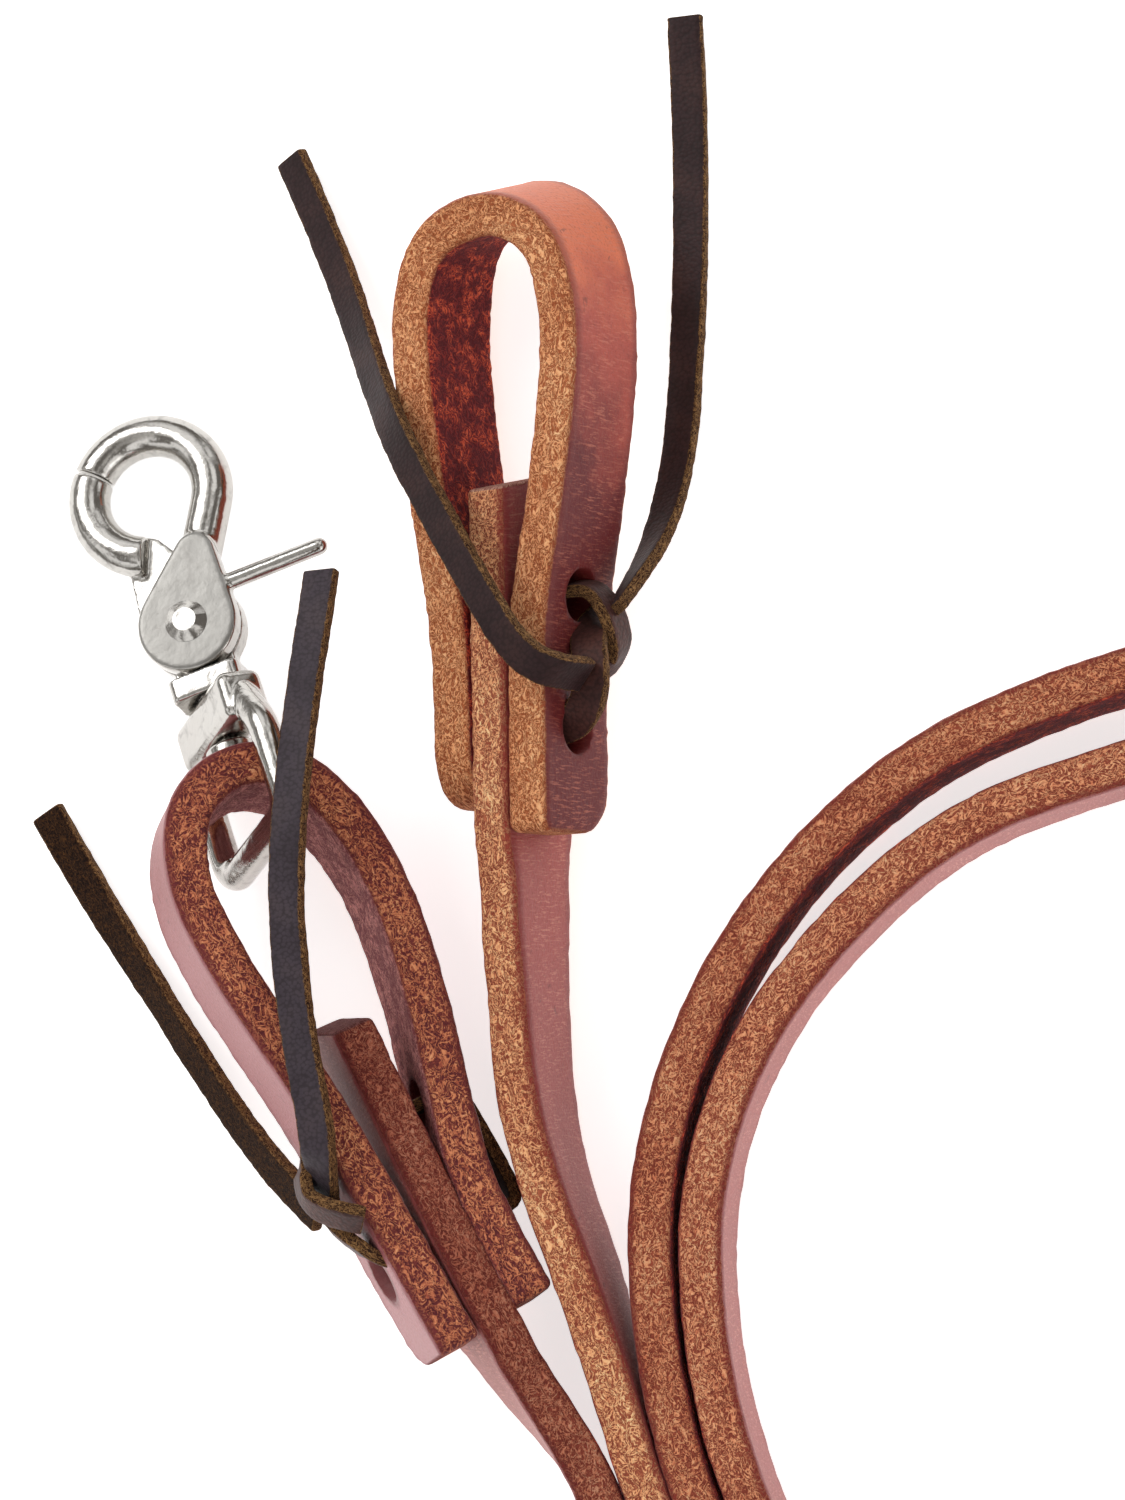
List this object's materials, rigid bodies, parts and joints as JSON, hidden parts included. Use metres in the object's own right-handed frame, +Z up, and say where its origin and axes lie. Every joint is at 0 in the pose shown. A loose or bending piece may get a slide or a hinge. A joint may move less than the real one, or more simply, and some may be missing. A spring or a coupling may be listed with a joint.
{
  "type": "one-piece leather reins with bit loops and swivel snap",
  "caption": "Long heavy leather strap, coiled, with a laced leather bit loop at each end; one loop holds a swivelling scissor snap that clips to a bit.",
  "frame": {"origin": "on the surface the reins lie on, under the middle of the bit loops, ties and snap (the coil and lace tails left out)", "axes": "+Z up from the surface; +Y along the bit loops, from the coil's side towards the empty bit loop; +X towards the coil"},
  "size_m": [0.2646, 0.2674, 0.0304],
  "materials": {
    "rein_leather": "oiled harness leather, raw edges",
    "loop_leather": "oiled harness leather, raw edges",
    "lace_leather": "dark latigo, tan edges",
    "nickel_plate": "bright nickel plate",
    "spring_steel": "plain"
  },
  "bodies": {
    "reins": {"bit_loop_a": "loop_leather", "bit_loop_b": "loop_leather", "rein_strap_a": "rein_leather", "rein_strap_b": "rein_leather", "rein_coil": "rein_leather", "tie_lace_a": "lace_leather", "tie_lace_b": "lace_leather", "lace_tail_a_left": "lace_leather", "lace_tail_a_right": "lace_leather", "lace_tail_b_front": "lace_leather", "lace_tail_b_left": "lace_leather"},
    "snap_bail": {"snap_bail": "nickel_plate"},
    "snap_body": {"snap_frame": "nickel_plate", "swivel_post": "nickel_plate", "snap_rivet": "nickel_plate", "jaw_spring": "spring_steel"},
    "snap_jaw": {"snap_jaw": "nickel_plate"}
  },
  "joints": [
    {"name": "bail_swing", "type": "hinge", "parent": "reins", "child": "snap_bail", "pos_m": [-0.01027, -0.00907, 0.01333], "axis": [0.3651, 0.1483, 0.9191], "range_deg": [-25, 25]},
    {"name": "swivel", "type": "hinge", "parent": "snap_bail", "child": "snap_body", "pos_m": [-0.02026, 0.02049, 0.0083], "axis": [-0.3365, 0.9245, -0.1788], "continuous": true},
    {"name": "jaw_open", "type": "hinge", "parent": "snap_body", "child": "snap_jaw", "pos_m": [-0.02026, 0.02049, 0.0083], "axis": [0.0612, -0.168, -0.9839], "range_deg": [0, 28], "stiffness_Nm_per_rad": 0.03, "springref_deg": -20.05}
  ]
}
